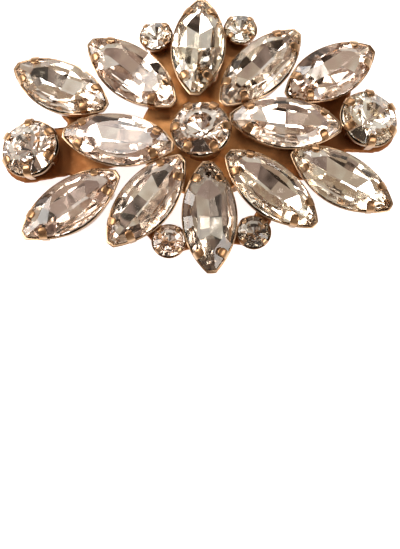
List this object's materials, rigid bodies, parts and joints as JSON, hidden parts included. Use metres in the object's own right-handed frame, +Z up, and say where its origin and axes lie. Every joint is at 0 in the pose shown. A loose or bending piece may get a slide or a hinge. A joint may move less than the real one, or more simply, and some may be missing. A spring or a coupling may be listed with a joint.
{
  "type": "shoe clip",
  "caption": "Domed cluster of claw-set marquise and round crystals on a pierced rose gold plate, with a folded spring clip behind it that grips a shoe's edge.",
  "frame": {"origin": "on the flat outer face of the clip's lower arm, under the centre stone, where the part rests", "axes": "+X along the cluster's length towards the right end stone, +Y towards the top marquise and the clip's fold, +Z up out of the crystals"},
  "size_m": [0.0567, 0.0421, 0.0111],
  "materials": {
    "rose_gold": "polished light rose gold plating",
    "crystal": "clear cut glass with a silvered back",
    "clip_metal": "satin rose gold plating on spring steel"
  },
  "bodies": {
    "root": {"setting_frame": "rose_gold", "stone_top": "crystal", "stone_top_right": "crystal", "stone_far_top_right": "crystal", "stone_right": "crystal", "stone_far_low_right": "crystal", "stone_low_right": "crystal", "stone_bottom": "crystal", "stone_low_left": "crystal", "stone_far_low_left": "crystal", "stone_left": "crystal", "stone_far_top_left": "crystal", "stone_top_left": "crystal", "stone_centre": "crystal", "stone_left_end": "crystal", "stone_right_end": "crystal", "stone_small_top_left": "crystal", "stone_small_top_right": "crystal", "stone_small_low_left": "crystal", "stone_small_low_right": "crystal", "spring_clip": "clip_metal"}
  },
  "joints": []
}
